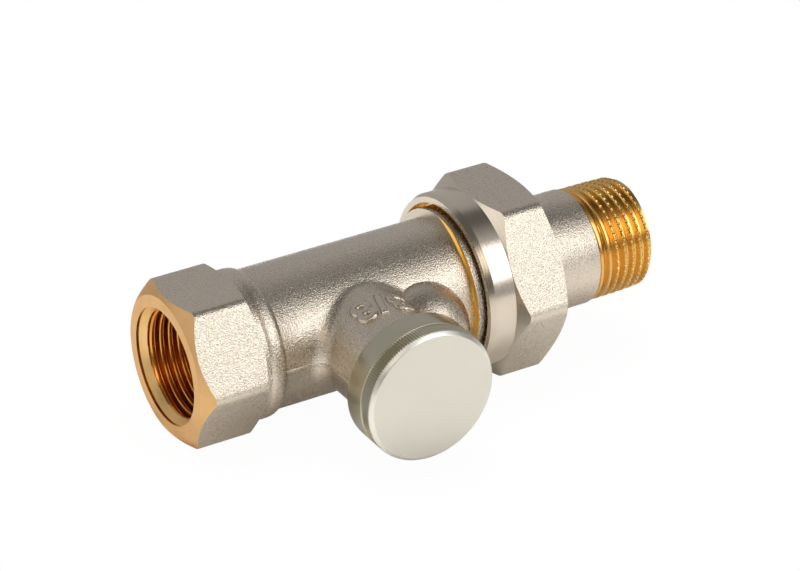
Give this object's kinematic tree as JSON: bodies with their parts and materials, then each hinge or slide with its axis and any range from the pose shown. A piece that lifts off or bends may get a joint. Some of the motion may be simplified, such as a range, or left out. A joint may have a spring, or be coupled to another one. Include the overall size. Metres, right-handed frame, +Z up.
{
  "type": "straight lockshield radiator valve",
  "caption": "Straight radiator lockshield valve in nickel-plated brass: threaded hex inlet, capped side branch with spindle and plug, union nut and threaded tailpiece.",
  "frame": {"origin": "on the pipe axis, at the mouth of the inlet's threaded socket", "axes": "+X along the pipe axis from the inlet to the radiator tail, -Y along the branch out through the cap, +Z up"},
  "size_m": [0.0739, 0.04, 0.026],
  "materials": {
    "nickel_forged": "nickel plate on blasted forged brass",
    "nickel_turned": "nickel plate on turned brass",
    "brass_turned": "bare turned brass",
    "spring_steel": "drawn wire",
    "rubber_black": "moulded EPDM"
  },
  "bodies": {
    "valve": {"valve_body": "nickel_forged", "bonnet": "brass_turned", "bonnet_o_ring": "rubber_black", "spindle_o_ring_lower": "rubber_black", "spindle_o_ring_upper": "rubber_black"},
    "plug": {"plug": "brass_turned", "plug_retaining_ring": "spring_steel", "seat_washer": "rubber_black", "washer_screw": "brass_turned"},
    "spindle": {"spindle": "brass_turned"},
    "cap_gasket": {"cap_gasket": "rubber_black"},
    "cap": {"cap": "nickel_turned"},
    "tailpiece": {"tailpiece": "nickel_turned", "tailpiece_o_ring": "rubber_black"},
    "union_nut": {"union_nut": "nickel_turned"}
  },
  "joints": [
    {"name": "plug_lift", "type": "slide", "parent": "valve", "child": "plug", "axis": [0, -1, 0], "range_m": [-0.0028, 0]},
    {"name": "spindle_turn", "type": "hinge", "parent": "plug", "child": "spindle", "pos_m": [0.0266, -0.015, 0], "axis": [0, -1, 0], "range_deg": [-1008.5, 0]},
    {"name": "cap_lift", "type": "slide", "parent": "valve", "child": "cap_gasket", "axis": [0, -1, 0], "range_m": [0, 0.004]},
    {"name": "cap_turn", "type": "hinge", "parent": "cap_gasket", "child": "cap", "pos_m": [0.0266, -0.022, 0], "axis": [0, -1, 0], "range_deg": [0, 1440.5]},
    {"name": "union_draw", "type": "slide", "parent": "valve", "child": "tailpiece", "axis": [1, 0, 0], "range_m": [0, 0.00635]},
    {"name": "union_nut_turn", "type": "hinge", "parent": "tailpiece", "child": "union_nut", "pos_m": [0.05, 0, 0], "axis": [1, 0, 0], "range_deg": [0, 1260.5]}
  ],
  "couplings": [
    {"joint": "spindle_turn", "follows": "plug_lift", "rad_per_m": 6283.2},
    {"joint": "cap_turn", "follows": "cap_lift", "rad_per_m": 6283.2},
    {"joint": "union_nut_turn", "follows": "union_draw", "rad_per_m": 3463.1}
  ]
}
